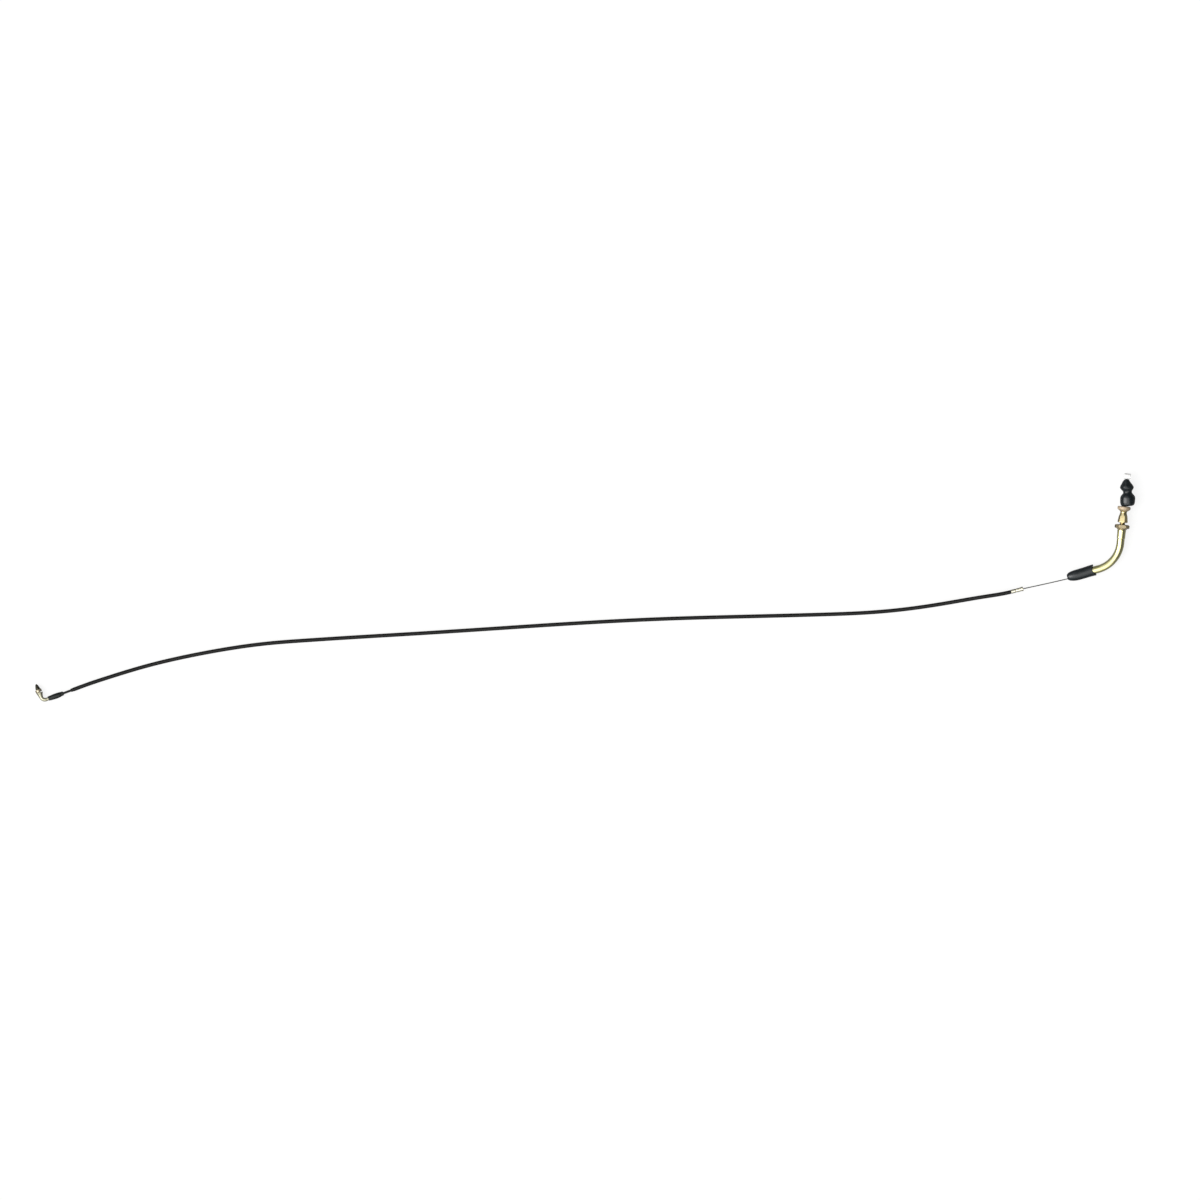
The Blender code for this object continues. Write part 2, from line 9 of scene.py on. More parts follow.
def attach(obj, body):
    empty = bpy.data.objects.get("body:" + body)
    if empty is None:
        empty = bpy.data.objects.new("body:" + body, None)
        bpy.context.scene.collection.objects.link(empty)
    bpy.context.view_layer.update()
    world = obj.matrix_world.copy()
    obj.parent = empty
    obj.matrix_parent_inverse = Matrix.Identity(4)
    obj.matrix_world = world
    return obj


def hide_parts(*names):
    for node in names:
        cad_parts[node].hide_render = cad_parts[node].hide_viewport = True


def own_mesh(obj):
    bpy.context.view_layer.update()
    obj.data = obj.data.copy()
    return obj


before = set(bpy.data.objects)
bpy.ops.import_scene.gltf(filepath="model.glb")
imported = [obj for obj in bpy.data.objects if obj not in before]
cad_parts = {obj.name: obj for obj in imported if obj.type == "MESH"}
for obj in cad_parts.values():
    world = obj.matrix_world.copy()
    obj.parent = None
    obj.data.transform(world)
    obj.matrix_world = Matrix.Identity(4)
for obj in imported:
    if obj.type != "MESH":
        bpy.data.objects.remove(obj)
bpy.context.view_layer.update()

# ----------------------------------------------------------------- dimensions
# the same layout as the solids: metres, +X along the housing, resting on z = 0
MM = 0.001
PX = 1.3 * MM
GRID_X, GRID_Y = 584.810, 586.798
JACKET_Z, LEFT_Z, RIGHT_Z = 2.38 * MM, 4.5 * MM, 6.5 * MM
LEFT_SETTLE, RIGHT_SETTLE = 110 * MM, 150 * MM
U_DEG, V_DEG, V_TILT = 14.6, 84.2, 2.5
FERRULE_FACE, FERRULE_LEN = (1023.0, 588.3), 16.0 * MM
BARE_LEN, SEAT_DEPTH = 60.6 * MM, 14.0 * MM
BEND_START, BEND_R = 40.0 * MM, 39.0 * MM
TUBE_START, TUBE_END = 12.0 * MM, 5.3 * MM
SLEEVE_END, SLEEVE_MOUTH = (48.5, 698.3), (63.5, 692.8)
PIPE_BEND_R, PIPE_CORNER, D_DEG = 5.0 * MM, 4.9, 119.0
NIPPLE_T = 87.6
ROUTE = [
    (63.5, 692.8), (71.0, 690.05), (92.0, 682.4), (106.0, 677.8), (146.0, 665.7),
    (186.0, 656.2), (226.0, 648.7), (266.0, 643.2), (306.0, 640.0), (346.0, 637.4),
    (426.0, 632.6), (506.0, 627.4), (586.0, 622.3), (666.0, 618.4), (746.0, 616.1),
    (826.0, 614.0), (866.0, 612.3), (906.0, 608.7), (946.0, 602.8), (986.0, 596.0),
]


def grid(px, py, z=0.0):
    return Vector(((px - GRID_X) * PX, (GRID_Y - py) * PX, z))


def heading(deg, tilt=0.0):
    a, t = math.radians(deg), math.radians(tilt)
    return Vector((math.cos(a) * math.cos(t), math.sin(a) * math.cos(t), math.sin(t)))


def frame_at(origin, direction):
    """Local +Z along direction, local +X level and to its right, local +Y downward."""
    z = Vector(direction).normalized()
    x = Vector((0, 0, 1)).cross(z).normalized() * -1.0
    y = z.cross(x)
    m = Matrix((x, y, z)).transposed().to_4x4()
    m.translation = origin
    return m


U = heading(U_DEG)
V = heading(V_DEG, V_TILT)
FACE = grid(*FERRULE_FACE, RIGHT_Z)
CAP_END = FACE + U * BARE_LEN
BEND_A = CAP_END + U * BEND_START
BEND_ANGLE = U.angle(V)
BEND_W = (V - U * math.cos(BEND_ANGLE)).normalized()
BEND_B = BEND_A + U * (BEND_R * math.sin(BEND_ANGLE)) + BEND_W * (BEND_R * (1 - math.cos(BEND_ANGLE)))
SLEEVE_DIR = (grid(*SLEEVE_END) - grid(*SLEEVE_MOUTH)).normalized()
D = heading(D_DEG)
PIPE_ANGLE = SLEEVE_DIR.angle(D)
PIPE_W = (D - SLEEVE_DIR * math.cos(PIPE_ANGLE)).normalized()
CORNER = grid(*SLEEVE_END, LEFT_Z) + SLEEVE_DIR * (PIPE_CORNER * PX)
PIPE_A = CORNER - SLEEVE_DIR * (PIPE_BEND_R * math.tan(PIPE_ANGLE / 2))
PIPE_B = CORNER + D * (PIPE_BEND_R * math.tan(PIPE_ANGLE / 2))
FACE_FRAME, U_FRAME, V_FRAME = frame_at(FACE, U), frame_at(CAP_END, U), frame_at(BEND_B, V)
D_FRAME = frame_at(PIPE_B, D)
SLEEVE_FRAME = frame_at(grid(*SLEEVE_MOUTH, LEFT_Z), SLEEVE_DIR)


def arc(start, direction, side, radius, angle, steps):
    return [
        start + direction * (radius * math.sin(angle * i / steps)) + side * (radius * (1 - math.cos(angle * i / steps)))
        for i in range(steps + 1)
    ]


def smooth_curve(points, first, last, samples):
    """Cubic spline through points with given end directions, evenly resampled."""
    p = np.array([[q.x, q.y] for q in points])
    t = np.concatenate([[0.0], np.cumsum(np.linalg.norm(np.diff(p, axis=0), axis=1))])
    n, h = len(p), np.diff(t)
    a, b = np.zeros((n, n)), np.zeros((n, 2))
    a[0, 0], b[0] = 1.0, first
    a[-1, -1], b[-1] = 1.0, last
    for i in range(1, n - 1):
        a[i, i - 1], a[i, i], a[i, i + 1] = 1 / h[i - 1], 2 / h[i - 1] + 2 / h[i], 1 / h[i]
        b[i] = 3 * ((p[i] - p[i - 1]) / h[i - 1] ** 2 + (p[i + 1] - p[i]) / h[i] ** 2)
    slope = np.linalg.solve(a, b)
    s = np.linspace(0.0, t[-1], samples)
    k = np.clip(np.searchsorted(t, s, side="right") - 1, 0, n - 2)
    x = ((s - t[k]) / h[k])[:, None]
    hk = h[k][:, None]
    return (
        (1 + 2 * x) * (1 - x) ** 2 * p[k] + x * (1 - x) ** 2 * hk * slope[k]
        + x * x * (3 - 2 * x) * p[k + 1] + x * x * (x - 1) * hk * slope[k + 1]
    )


def ease(x):
    x = np.clip(x, 0.0, 1.0)
    return x * x * (3 - 2 * x)


def housing_route():
    back = FACE - U * FERRULE_LEN
    points = [grid(*q) for q in ROUTE] + [Vector((back.x, back.y, 0))]
    flat = smooth_curve(points, (-SLEEVE_DIR.x, -SLEEVE_DIR.y), (U.x, U.y), 4000)
    run = np.concatenate([[0.0], np.cumsum(np.linalg.norm(np.diff(flat, axis=0), axis=1))])
    left = run - 12 * MM
    right = run[-1] - run - 6 * MM
    z = np.array([
        JACKET_Z + (LEFT_Z - JACKET_Z) * ease(1 - a / LEFT_SETTLE) + (RIGHT_Z - JACKET_Z) * ease(1 - b / RIGHT_SETTLE)
        for a, b in zip(left, right)
    ])
    return np.column_stack([flat, z]), run


DENSE, RUN = housing_route()
WHOLE = float(RUN[-1])
JACKET_START = (grid(71.0, 690.05) - grid(*SLEEVE_MOUTH)).length


def on_route(s):
    """Points on the housing's line. Before and after it the line runs on straight."""
    s = np.asarray(s, float)
    p = np.stack([np.interp(s, RUN, DENSE[:, k]) for k in range(3)], axis=1)
    p += np.minimum(s, 0.0)[:, None] * -np.array(SLEEVE_DIR)
    p += np.maximum(s - WHOLE, 0.0)[:, None] * np.array(U)
    return p


# ------------------------------------------------------------------- geometry
TAU = 2 * math.pi


def finish_mesh(name, verts, faces, flat, place, angle, even=True):
    """Makes the object: doubled points are welded, faces point out, and the piece's own unbent place is kept in 'flat'."""
    me = bpy.data.meshes.new(name)
    me.from_pydata(np.asarray(verts, float).tolist(), [], [list(f) for f in faces])
    at = me.attributes.new("flat", "FLOAT_VECTOR", "POINT")
    at.data.foreach_set("vector", np.asarray(flat, np.float32).ravel())
    bm = bmesh.new()
    bm.from_mesh(me)
    bmesh.ops.remove_doubles(bm, verts=bm.verts, dist=2e-7)
    bmesh.ops.dissolve_degenerate(bm, edges=bm.edges, dist=1e-8)
    bmesh.ops.recalc_face_normals(bm, faces=bm.faces)
    if bm.calc_volume(signed=True) < 0:
        bmesh.ops.reverse_faces(bm, faces=bm.faces)
    bm.to_mesh(me)
    bm.free()
    me.shade_smooth()
    me.set_sharp_from_angle(angle=math.radians(angle))
    ob = bpy.data.objects.new(name, me)
    bpy.context.scene.collection.objects.link(ob)
    if place is not None:
        ob.matrix_world = place
    if even:
        w = ob.modifiers.new("even_normals", "WEIGHTED_NORMAL")
        w.keep_sharp = True
    return ob


def quads(rows, cols, wrap, start=0):
    i = np.arange(rows if wrap else rows - 1)[:, None]
    k = np.arange(cols)[None, :]
    j, m = (i + 1) % rows, (k + 1) % cols
    return (start + np.stack([i * cols + k, i * cols + m, j * cols + m, j * cols + k], -1)).reshape(-1, 4)


def loft(name, rings, flat=None, wrap=True, place=None, angle=40.0, even=True):
    """rings is rows x sides x 3, in metres. wrap joins the last ring to the first; without it the ends are poles or discs."""
    rings = np.asarray(rings, float)
    rows, sides, _ = rings.shape
    flat = rings if flat is None else np.asarray(flat, float)
    faces = [tuple(f) for f in quads(rows, sides, wrap)]
    if not wrap:
        for r in (0, rows - 1):
            if np.ptp(rings[r], axis=0).max() > 1e-7:
                faces.append(tuple(range(r * sides, (r + 1) * sides)))
    return finish_mesh(name, rings.reshape(-1, 3), faces, flat.reshape(-1, 3), place, angle, even)


def rounded(points, radius=0.2, steps=4, closed=True):
    """A turned outline (distance, radius[, its own corner radius]) in mm with its corners rounded."""
    n, out = len(points), []
    for i, p in enumerate(points):
        c, rad = np.array(p[:2], float), (p[2] if len(p) > 2 else radius)
        if (not closed and i in (0, n - 1)) or rad <= 0:
            out.append(c)
            continue
        a = np.array(points[i - 1][:2], float) - c
        b = np.array(points[(i + 1) % n][:2], float) - c
        la, lb = np.linalg.norm(a), np.linalg.norm(b)
        a, b = a / la, b / lb
        half = math.acos(float(np.clip(a @ b, -1, 1))) / 2
        if half > math.radians(87):
            out.append(c)
            continue
        cut = min(rad / math.tan(half), 0.45 * la, 0.45 * lb)
        r = cut * math.tan(half)
        mid = c + (a + b) / np.linalg.norm(a + b) * (r / math.sin(half))
        u0, u1 = c + a * cut - mid, c + b * cut - mid
        a0 = math.atan2(u0[1], u0[0])
        turn = (math.atan2(u1[1], u1[0]) - a0 + math.pi) % TAU - math.pi
        out += [mid + r * np.array([math.cos(a0 + turn * k / steps), math.sin(a0 + turn * k / steps)]) for k in range(steps + 1)]
    return [tuple(q) for q in out]


def through(points, per=6):
    """A smooth line through stations of any width (Catmull-Rom on their spacing)."""
    p = np.array(points, float)
    p = np.vstack([2 * p[0] - p[1], p, 2 * p[-1] - p[-2]])
    out = []
    for i in range(1, len(p) - 2):
        p0, p1, p2, p3 = p[i - 1], p[i], p[i + 1], p[i + 2]
        t01, t12, t23 = (max(np.linalg.norm(b - a), 1e-9) ** 0.5 for a, b in ((p0, p1), (p1, p2), (p2, p3)))
        m1 = p2 - p1 + t12 * ((p1 - p0) / t01 - (p2 - p0) / (t01 + t12))
        m2 = p2 - p1 + t12 * ((p3 - p2) / t23 - (p3 - p1) / (t12 + t23))
        for k in range(per):
            x = k / per
            out.append((2 * p1 - 2 * p2 + m1 + m2) * x ** 3 + (-3 * p1 + 3 * p2 - 2 * m1 - m2) * x ** 2 + m1 * x + p1)
    out.append(p[-2])
    return np.array(out)


def angles(sides):
    return np.arange(sides) * TAU / sides


def turned(name, outline, place, sides=72, shape=None, wrap=True, angle=40.0, even=True):
    """An outline of (distance along, radius) in mm turned about local +Z. shape(t, r, theta) may return changed (x, y, t) in mm."""
    th = angles(sides)
    rings = []
    for t, r in outline:
        x, y, z = r * np.cos(th), r * np.sin(th), np.full(sides, float(t))
        if shape is not None:
            x, y, z = shape(t, r, th)
        rings.append(np.stack([x, y, z], 1) * MM)
    return loft(name, rings, wrap=wrap, place=place, angle=angle, even=even)


def tube_rings(centres, radius, sides, phase=0.0):
    """Rings across a line, and each point's unbent place (across, across, along). radius: a number, one per ring, or rings x sides."""
    c = np.asarray(centres, float)
    d = np.gradient(c, axis=0)
    d /= np.linalg.norm(d, axis=1)[:, None]
    side = np.cross([0.0, 0.0, 1.0], d)
    side /= np.linalg.norm(side, axis=1)[:, None]
    up = np.cross(d, side)
    run = np.concatenate([[0.0], np.cumsum(np.linalg.norm(np.diff(c, axis=0), axis=1))])
    r = np.asarray(radius, float)
    r = np.broadcast_to(r if r.ndim == 2 else r.reshape(-1, 1) if r.ndim == 1 else r, (len(c), sides))
    th = np.broadcast_to(angles(sides)[None, :] + phase, r.shape)
    x, y = r * np.cos(th), r * np.sin(th)
    rings = c[:, None, :] + side[:, None, :] * x[..., None] + up[:, None, :] * y[..., None]
    return rings, np.stack([x, y, np.broadcast_to(run[:, None], r.shape)], -1)


def pipe(name, centres, outer, inner, sides=48, place=None, angle=40.0, even=True):
    """A tube with a bore: both walls and its two end faces."""
    a, fa = tube_rings(centres, outer, sides)
    b, fb = tube_rings(centres, inner, sides)
    return loft(name, np.concatenate([a, b[::-1]]), np.concatenate([fa, fb[::-1]]), wrap=True, place=place, angle=angle, even=even)


# ------------------------------------------------------------------ materials
class Shade:
    """Builds one node material: every piece's surface varies over its own unbent place in mm."""

    def __init__(self, name, attribute=True):
        self.m = bpy.data.materials.new(name)
        self.m.use_nodes = True
        self.t = self.m.node_tree
        self.b = self.t.nodes["Principled BSDF"]
        if attribute:
            n = self.t.nodes.new("ShaderNodeAttribute")
            n.attribute_name = "flat"
            source = n.outputs["Vector"]
        else:
            source = self.t.nodes.new("ShaderNodeTexCoord").outputs["Object"]
        self.place = self.vector("SCALE", source, scale=1000.0)

    def link(self, a, b):
        self.t.links.new(a, b)

    def vector(self, op, a, b=None, scale=None):
        n = self.t.nodes.new("ShaderNodeVectorMath")
        n.operation = op
        self.link(a, n.inputs[0])
        if b is not None:
            if isinstance(b, tuple):
                n.inputs[1].default_value = b
            else:
                self.link(b, n.inputs[1])
        if scale is not None:
            n.inputs["Scale"].default_value = scale
        return n.outputs[0]

    def stretched(self, x, y, z):
        return self.vector("MULTIPLY", self.place, (x, y, z))

    def part(self, axis, source=None):
        n = self.t.nodes.new("ShaderNodeSeparateXYZ")
        self.link(source or self.place, n.inputs[0])
        return n.outputs[axis]

    def math(self, op, a, b=0.0, c=0.0, clamp=False):
        n = self.t.nodes.new("ShaderNodeMath")
        n.operation = op
        n.use_clamp = clamp
        for i, v in enumerate((a, b, c)):
            if isinstance(v, (int, float)):
                n.inputs[i].default_value = v
            else:
                self.link(v, n.inputs[i])
        return n.outputs[0]

    def noise(self, scale, source=None, detail=4.0, rough=0.5, distortion=0.0):
        n = self.t.nodes.new("ShaderNodeTexNoise")
        n.inputs["Scale"].default_value = scale
        n.inputs["Detail"].default_value = detail
        n.inputs["Roughness"].default_value = rough
        n.inputs["Distortion"].default_value = distortion
        self.link(source or self.place, n.inputs["Vector"])
        return n.outputs["Fac"]

    def ranged(self, value, low, high, to_low=0.0, to_high=1.0):
        n = self.t.nodes.new("ShaderNodeMapRange")
        n.interpolation_type = "SMOOTHSTEP"
        for i, v in enumerate((low, high, to_low, to_high)):
            n.inputs[i + 1].default_value = v
        self.link(value, n.inputs[0])
        return n.outputs[0]

    def mix(self, fac, a, b):
        n = self.t.nodes.new("ShaderNodeMix")
        n.data_type = "RGBA"
        for i, v in ((0, fac), (6, a), (7, b)):
            if isinstance(v, tuple):
                n.inputs[i].default_value = (*v, 1.0)
            elif isinstance(v, (int, float)):
                n.inputs[i].default_value = v
            else:
                self.link(v, n.inputs[i])
        return n.outputs[2]

    def ramp(self, value, stops):
        n = self.t.nodes.new("ShaderNodeValToRGB")
        e = n.color_ramp.elements
        while len(e) < len(stops):
            e.new(0.5)
        for k, (pos, colour) in enumerate(stops):
            e[k].position = pos
            e[k].color = (*colour, 1.0)
        self.link(value, n.inputs[0])
        return n.outputs["Color"]

    def bump(self, height, strength, distance):
        n = self.t.nodes.new("ShaderNodeBump")
        n.inputs["Strength"].default_value = strength
        n.inputs["Distance"].default_value = distance
        self.link(height, n.inputs["Height"])
        self.link(n.outputs["Normal"], self.b.inputs["Normal"])

    def finish(self, colour=None, roughness=None, metallic=0.0, specular=None, coat=None, coat_roughness=None):
        for socket, v in (("Base Color", colour), ("Roughness", roughness)):
            if v is None:
                continue
            if isinstance(v, tuple):
                self.b.inputs[socket].default_value = (*v, 1.0)
            elif isinstance(v, (int, float)):
                self.b.inputs[socket].default_value = v
            else:
                self.link(v, self.b.inputs[socket])
        self.b.inputs["Metallic"].default_value = metallic
        if specular is not None:
            self.b.inputs["Specular IOR Level"].default_value = specular
        if coat is not None:
            self.b.inputs["Coat Weight"].default_value = coat
        if coat_roughness is not None:
            self.b.inputs["Coat Roughness"].default_value = coat_roughness
        return self.m


def black_pvc():
    """Extruded jacket: drawn streaks along it, a soft telegraphed rib, a little handling haze."""
    s = Shade("black_pvc")
    streak = s.noise(1.0, s.stretched(5.0, 5.0, 0.08), detail=5)
    patch = s.noise(0.05, detail=3)
    rib = s.math("SINE", s.math("MULTIPLY", s.part(2), TAU / 1.15))
    colour = s.mix(s.ranged(streak, 0.35, 0.7), (0.0035, 0.0035, 0.0036), (0.0085, 0.0085, 0.0086))
    colour = s.mix(s.ranged(patch, 0.5, 0.75, 0.0, 0.35), colour, (0.018, 0.018, 0.0175))
    rough = s.math("ADD", s.ranged(streak, 0.3, 0.7, 0.30, 0.42), s.ranged(patch, 0.45, 0.7, 0.0, 0.08))
    height = s.math("ADD", s.math("MULTIPLY", rib, 0.25), s.math("MULTIPLY", streak, 0.5))
    s.bump(height, 0.35, 0.00003)
    return s.finish(colour, rough, specular=0.2)


def moulded_rubber(name, dark, light, rough=(0.36, 0.52), specular=0.5, attribute=True):
    """Moulded rubber: fine grain, cloudy bloom, slightly glossier in patches."""
    s = Shade(name, attribute)
    grain = s.noise(9.0, detail=3)
    cloud = s.noise(0.22, detail=4, distortion=0.4)
    fleck = s.noise(2.2, detail=6, rough=0.65)
    colour = s.mix(s.ranged(cloud, 0.35, 0.68), dark, light)
    colour = s.mix(s.ranged(fleck, 0.62, 0.78, 0.0, 0.35), colour, tuple(min(1.0, c * 2.2) for c in light))
    r = s.math("ADD", s.ranged(cloud, 0.3, 0.7, rough[0], rough[1]), s.ranged(fleck, 0.4, 0.7, -0.03, 0.05))
    height = s.math("ADD", s.math("MULTIPLY", grain, 0.35), s.math("MULTIPLY", fleck, 0.65))
    s.bump(height, 0.28, 0.00006)
    return s.finish(colour, r, specular=specular)


def plated(name, pale, yellow, olive, pink, rough=(0.14, 0.24), metal=1.0, tan_from=None, shaded_corner=None, attribute=True):
    """Yellow chromated zinc over drawn or turned steel: the film's colour wanders from pale straw over yellow to olive and rose."""
    s = Shade(name, attribute)
    film = s.noise(0.11, s.stretched(1.0, 1.0, 0.55), detail=5, rough=0.55, distortion=0.9)
    turn = s.noise(0.35, s.stretched(1.0, 1.0, 0.5), detail=4, distortion=0.5)
    lines = s.noise(1.0, s.stretched(0.6, 0.6, 7.0), detail=5, rough=0.6)
    colour = s.ramp(film, [(0.30, olive), (0.42, yellow), (0.55, pale), (0.66, yellow), (0.78, pink)])
    colour = s.mix(s.ranged(turn, 0.5, 0.72, 0.0, 0.45), colour, pink)
    if tan_from is not None:
        low, high, tan = tan_from
        colour = s.mix(s.ranged(s.part(2), low, high), colour, tan)
    if shaded_corner is not None:
        # painted shade: the corner at the far -x side is painted dark, as it looks when turned into shade
        corner_shade = s.math("MULTIPLY", s.ranged(s.math("MULTIPLY", s.part(0), -1.0), -shaded_corner[0], -shaded_corner[1]), s.ranged(turn, 0.2, 0.5, 0.75, 1.0))
        colour = s.mix(corner_shade, colour, (0.045, 0.042, 0.035))
    rough_v = s.math("ADD", s.ranged(turn, 0.3, 0.7, rough[0], rough[1]), s.ranged(lines, 0.4, 0.7, -0.02, 0.05))
    if tan_from is not None:
        # the flange is tan, and rougher and less metallic than the rest
        rough_v = s.math("ADD", rough_v, s.ranged(s.part(2), low, high, 0.0, 0.34))
        s.link(s.ranged(s.part(2), low, high, metal, 0.3), s.b.inputs["Metallic"])
    s.bump(s.math("ADD", s.math("MULTIPLY", lines, 0.5), s.math("MULTIPLY", turn, 0.5)), 0.5, 0.000006)
    return s.finish(colour, rough_v, metallic=metal)


def bare_metal(name, low, high, rough, lines_along=False, attribute=True, bump=0.2, metallic=1.0):
    """Turned, drawn or cast metal without a coloured film."""
    s = Shade(name, attribute)
    stretch = (6.0, 6.0, 0.12) if lines_along else (0.7, 0.7, 6.0)
    lines = s.noise(1.0, s.stretched(*stretch), detail=5)
    cloud = s.noise(0.4, detail=4, distortion=0.3)
    colour = s.mix(s.math("ADD", s.math("MULTIPLY", s.ranged(lines, 0.35, 0.65), 0.5), s.math("MULTIPLY", s.ranged(cloud, 0.3, 0.7), 0.5)), low, high)
    rough_v = s.math("ADD", s.ranged(cloud, 0.3, 0.7, rough[0], rough[1]), s.ranged(lines, 0.4, 0.7, -0.03, 0.04))
    s.bump(s.math("ADD", s.math("MULTIPLY", lines, 0.6), s.math("MULTIPLY", cloud, 0.4)), bump, 0.00001)
    return s.finish(colour, rough_v, metallic=metallic)


def stranded_metal(name, groove_r, crest_r):
    """Galvanised strands; the grooves between them are painted dark as shade, the crests lighter."""
    s = Shade(name)
    xy = s.vector("MULTIPLY", s.place, (1.0, 1.0, 0.0))
    n = s.t.nodes.new("ShaderNodeVectorMath")
    n.operation = "LENGTH"
    s.link(xy, n.inputs[0])
    height = s.ranged(n.outputs["Value"], groove_r, crest_r)
    spots = s.noise(3.0, detail=4)
    # painted shade: the colour darkens from the crests down into the grooves
    colour = s.mix(height, (0.020, 0.0195, 0.018), (0.10, 0.098, 0.092))
    colour = s.mix(s.ranged(spots, 0.45, 0.75, 0.0, 0.4), colour, (0.065, 0.063, 0.058))
    s.bump(spots, 0.15, 0.00003)
    return s.finish(colour, s.ranged(spots, 0.3, 0.7, 0.34, 0.48), metallic=1.0)


def liner_plastic():
    s = Shade("liner_plastic", attribute=False)
    cloud = s.noise(0.3, detail=4)
    s.bump(cloud, 0.1, 0.00005)
    return s.finish(s.mix(s.ranged(cloud, 0.35, 0.7), (0.72, 0.72, 0.68), (0.82, 0.82, 0.79)), s.ranged(cloud, 0.3, 0.7, 0.4, 0.55))


M_JACKET = black_pvc()
M_RUBBER = moulded_rubber("charcoal_rubber", (0.0050, 0.0078, 0.0095), (0.0105, 0.0150, 0.0180), rough=(0.23, 0.31))
M_SLEEVE = moulded_rubber("sleeve_rubber", (0.0030, 0.0048, 0.0044), (0.0075, 0.0110, 0.0100), rough=(0.28, 0.38), specular=0.3)
M_ZINC = plated("zinc_gold", (0.86, 0.835, 0.47), (0.80, 0.76, 0.37), (0.58, 0.575, 0.24), (0.80, 0.71, 0.43))
M_ADJUSTER = plated("zinc_gold_screw", (0.57, 0.50, 0.285), (0.53, 0.42, 0.20), (0.40, 0.29, 0.11), (0.50, 0.37, 0.20),
                    tan_from=(41.3, 43.6, (0.44, 0.345, 0.235)))
# the nut's corner at its -x side is painted dark: painted shade
M_NUT = plated("zinc_gold_nut", (0.38, 0.32, 0.20), (0.345, 0.275, 0.155), (0.22, 0.18, 0.10), (0.33, 0.26, 0.17), rough=(0.34, 0.46), metal=0.6, shaded_corner=(-7.4, -9.0))
M_FERRULE = bare_metal("bright_ferrule", (0.62, 0.59, 0.44), (0.82, 0.80, 0.68), (0.16, 0.28))
M_PIPE = plated("pale_pipe", (0.50, 0.49, 0.37), (0.45, 0.43, 0.30), (0.32, 0.32, 0.21), (0.45, 0.41, 0.31), rough=(0.30, 0.42), metal=0.85)
M_CUP = plated("bronze_cup", (0.50, 0.46, 0.36), (0.38, 0.33, 0.23), (0.20, 0.17, 0.11), (0.42, 0.35, 0.26), rough=(0.22, 0.36), metal=0.8)
M_DARK = bare_metal("dark_nipple", (0.020, 0.020, 0.013), (0.060, 0.057, 0.040), (0.26, 0.40), metallic=0.8)
M_DIECAST = bare_metal("diecast_zinc", (0.90, 0.90, 0.89), (0.96, 0.96, 0.955), (0.36, 0.50), bump=0.4, metallic=0.25)
M_COIL = bare_metal("blackened_coil", (0.012, 0.012, 0.012), (0.034, 0.034, 0.034), (0.34, 0.48), metallic=0.6)
M_STRAND = stranded_metal("galvanised_strand", 0.545, 0.655)
M_LINER = liner_plastic()
M_STEEL_IN = bare_metal("steel_inside", (0.40, 0.40, 0.39), (0.55, 0.55, 0.54), (0.3, 0.42), attribute=False)


def place_piece(ob, material, body, slot, *nodes):
    ob.data.materials.clear()
    ob.data.materials.append(material)
    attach(ob, body)
    if nodes:
        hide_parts(*nodes)
    return ob


# ------------------------------------------------------------ camera and cord
camera_data = bpy.data.cameras.new("camera")
camera_data.sensor_fit = "AUTO"
camera_data.sensor_width = 36.0
VIEW_WIDTH, CAMERA_HEIGHT = 1200 * PX, 12.0
camera_data.lens = 36.0 * CAMERA_HEIGHT / VIEW_WIDTH
camera_data.clip_start, camera_data.clip_end = 0.5, 60.0
camera = bpy.data.objects.new("camera", camera_data)
bpy.context.scene.collection.objects.link(camera)
camera.location = grid(600.0, 599.6, CAMERA_HEIGHT + 3 * MM)
bpy.context.scene.camera = camera

# outer jacket: extruded plastic tube, cut square at both ends
s = np.linspace(JACKET_START, WHOLE - 0.3 * MM, 660)
jacket_line = on_route(s)
nick = np.ones(len(s)) * 2.5
nick -= 0.36 * (1 - ease((s - s[0]) / (5.0 * MM)))   # drawn thin where the machine stripped it
nick[-1] = 2.42
bore = np.ones(len(s)) * 1.95
jacket = pipe("jacket", jacket_line, nick * MM, bore * MM, sides=28, angle=50, even=False)
place_piece(jacket, M_JACKET, "outer_cable", "black_plastic", "outer_jacket")

# wound conduit: close coils where it shows beyond the jacket, plain where it is covered
PITCH = 0.92
near = np.arange(-5.0, 17.0, PITCH / 12)
far = np.linspace(17.4, WHOLE / MM + 11.0, 150)
along = np.concatenate([[-5.9], near, far])
th = angles(28)
x = ((along[:, None] / PITCH - th[None, :] / TAU) % 1.0) - 0.5
coil_r = 1.6 - 0.30 * np.abs(2 * x) ** 3.0
coil_r[(along > 16.0) | (along < -4.4)] = 1.52
conduit = pipe("conduit", on_route(along * MM), coil_r * MM, 1.22 * MM, sides=28, angle=60, even=False)
place_piece(conduit, M_COIL, "outer_cable", "dark_steel", "conduit_coil")

for node, mat in (("conduit_liner", M_LINER), ("elbow_liner", M_LINER), ("wire_in_housing", M_STEEL_IN),
                  ("wire_in_elbow", M_STEEL_IN), ("left_ferrule", M_STEEL_IN)):
    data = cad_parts[node].data
    data.materials.clear()
    data.materials.append(mat)

# ---------------------------------------------------------------- inner wire
def strand_radius(along_mm, sides, lay=11.0, strands=12, centre=0.52, own=0.14):
    th = angles(sides)[None, :] + TAU * along_mm[:, None] / lay
    d = (th * strands / TAU % 1.0 - 0.5) * TAU / strands
    return centre * np.cos(d) + np.sqrt(np.maximum(own ** 2 - (centre * np.sin(d)) ** 2, 0.0))


